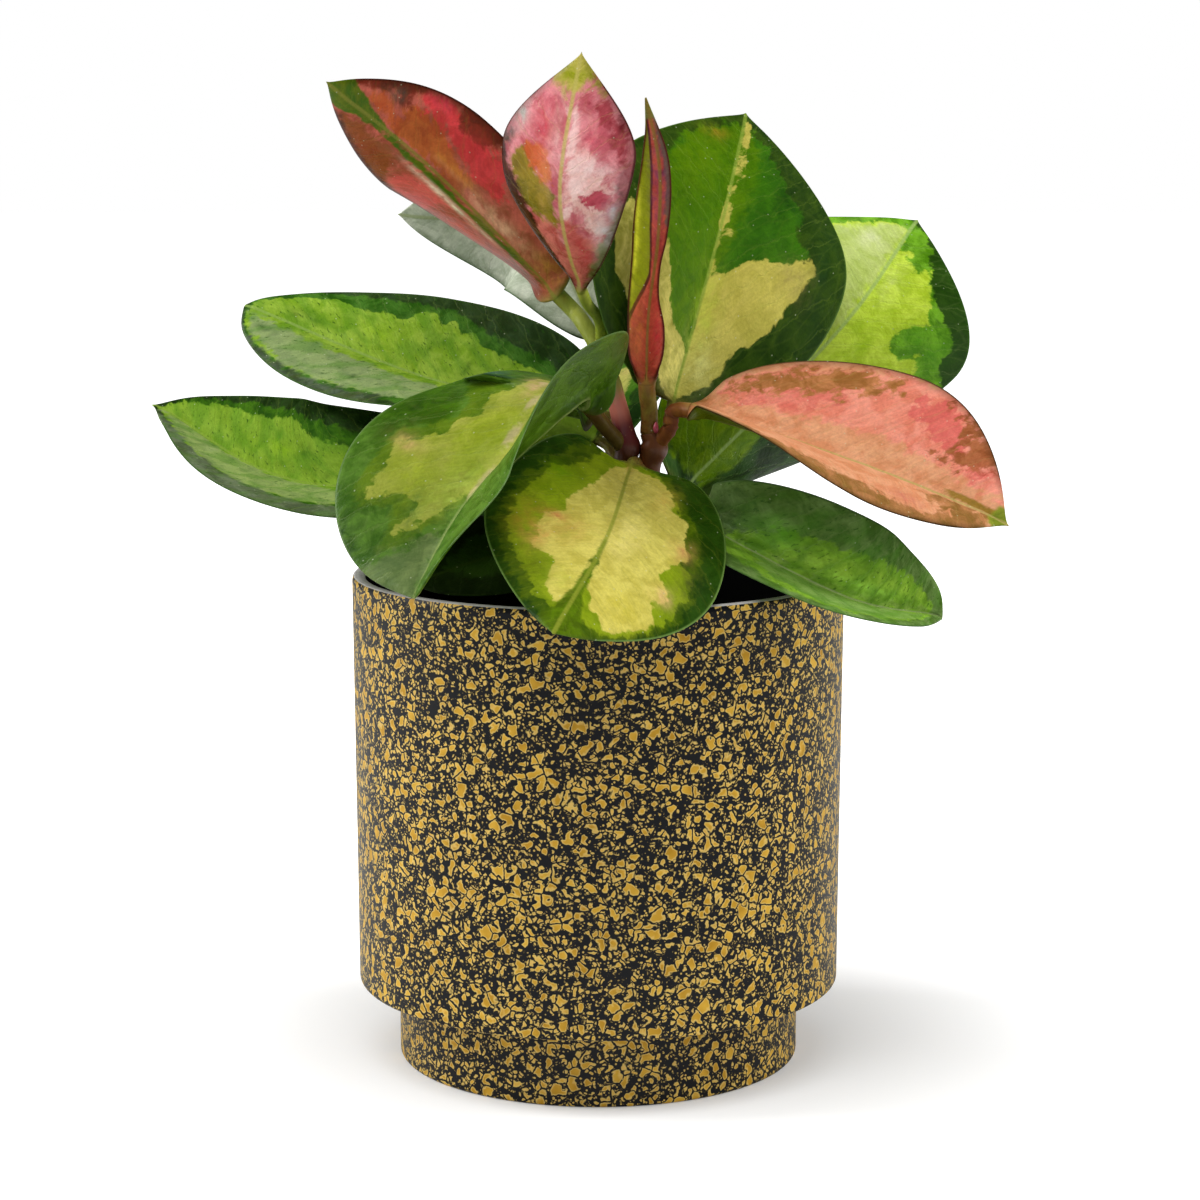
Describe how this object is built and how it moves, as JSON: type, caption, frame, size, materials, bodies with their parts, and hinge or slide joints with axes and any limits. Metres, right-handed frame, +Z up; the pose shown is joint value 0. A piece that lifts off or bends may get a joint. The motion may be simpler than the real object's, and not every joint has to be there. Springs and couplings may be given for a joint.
{
  "type": "potted hoya",
  "caption": "Variegated wax plant with broad pink, cream and green leaves, in a nursery pot inside a speckled round ceramic cover pot with a narrower foot.",
  "frame": {"origin": "centre of the cover pot's foot, on its flat underside", "axes": "+Z up along the pot's axis, the plant's showy side faces -Y, +X to the right of it"},
  "size_m": [0.2344, 0.1773, 0.2848],
  "materials": {
    "speckled_ceramic": "satin",
    "nursery_plastic": "satin",
    "soil": "matte",
    "stem": "satin",
    "pink_leaf": "satin",
    "crimson_leaf": "satin",
    "salmon_leaf": "satin",
    "cream_green_leaf": "satin",
    "lime_leaf": "satin",
    "green_leaf": "satin",
    "dark_leaf": "satin",
    "leaf_underside": "satin"
  },
  "bodies": {
    "root": {"cover_pot": "speckled_ceramic", "grow_pot": "nursery_plastic", "potting_soil": "soil", "stem_left": "stem", "stem_right": "stem", "stem_back": "stem", "pink_leaf_left": "pink_leaf", "pink_leaf_centre": "pink_leaf", "rolled_young_leaf": "crimson_leaf", "axil_bud": "crimson_leaf", "large_back_leaf": "cream_green_leaf", "front_round_leaf": "cream_green_leaf", "left_twisted_leaf": "cream_green_leaf", "far_right_leaf": "lime_leaf", "inner_lime_leaf": "lime_leaf", "salmon_leaf_right": "salmon_leaf", "right_lower_leaf": "green_leaf", "left_upper_leaf": "green_leaf", "left_lower_leaf": "green_leaf", "grey_back_leaf": "leaf_underside", "inner_low_leaf": "dark_leaf", "back_centre_leaf": "dark_leaf", "back_left_low_leaf": "green_leaf", "back_right_low_leaf": "green_leaf"}
  },
  "joints": []
}
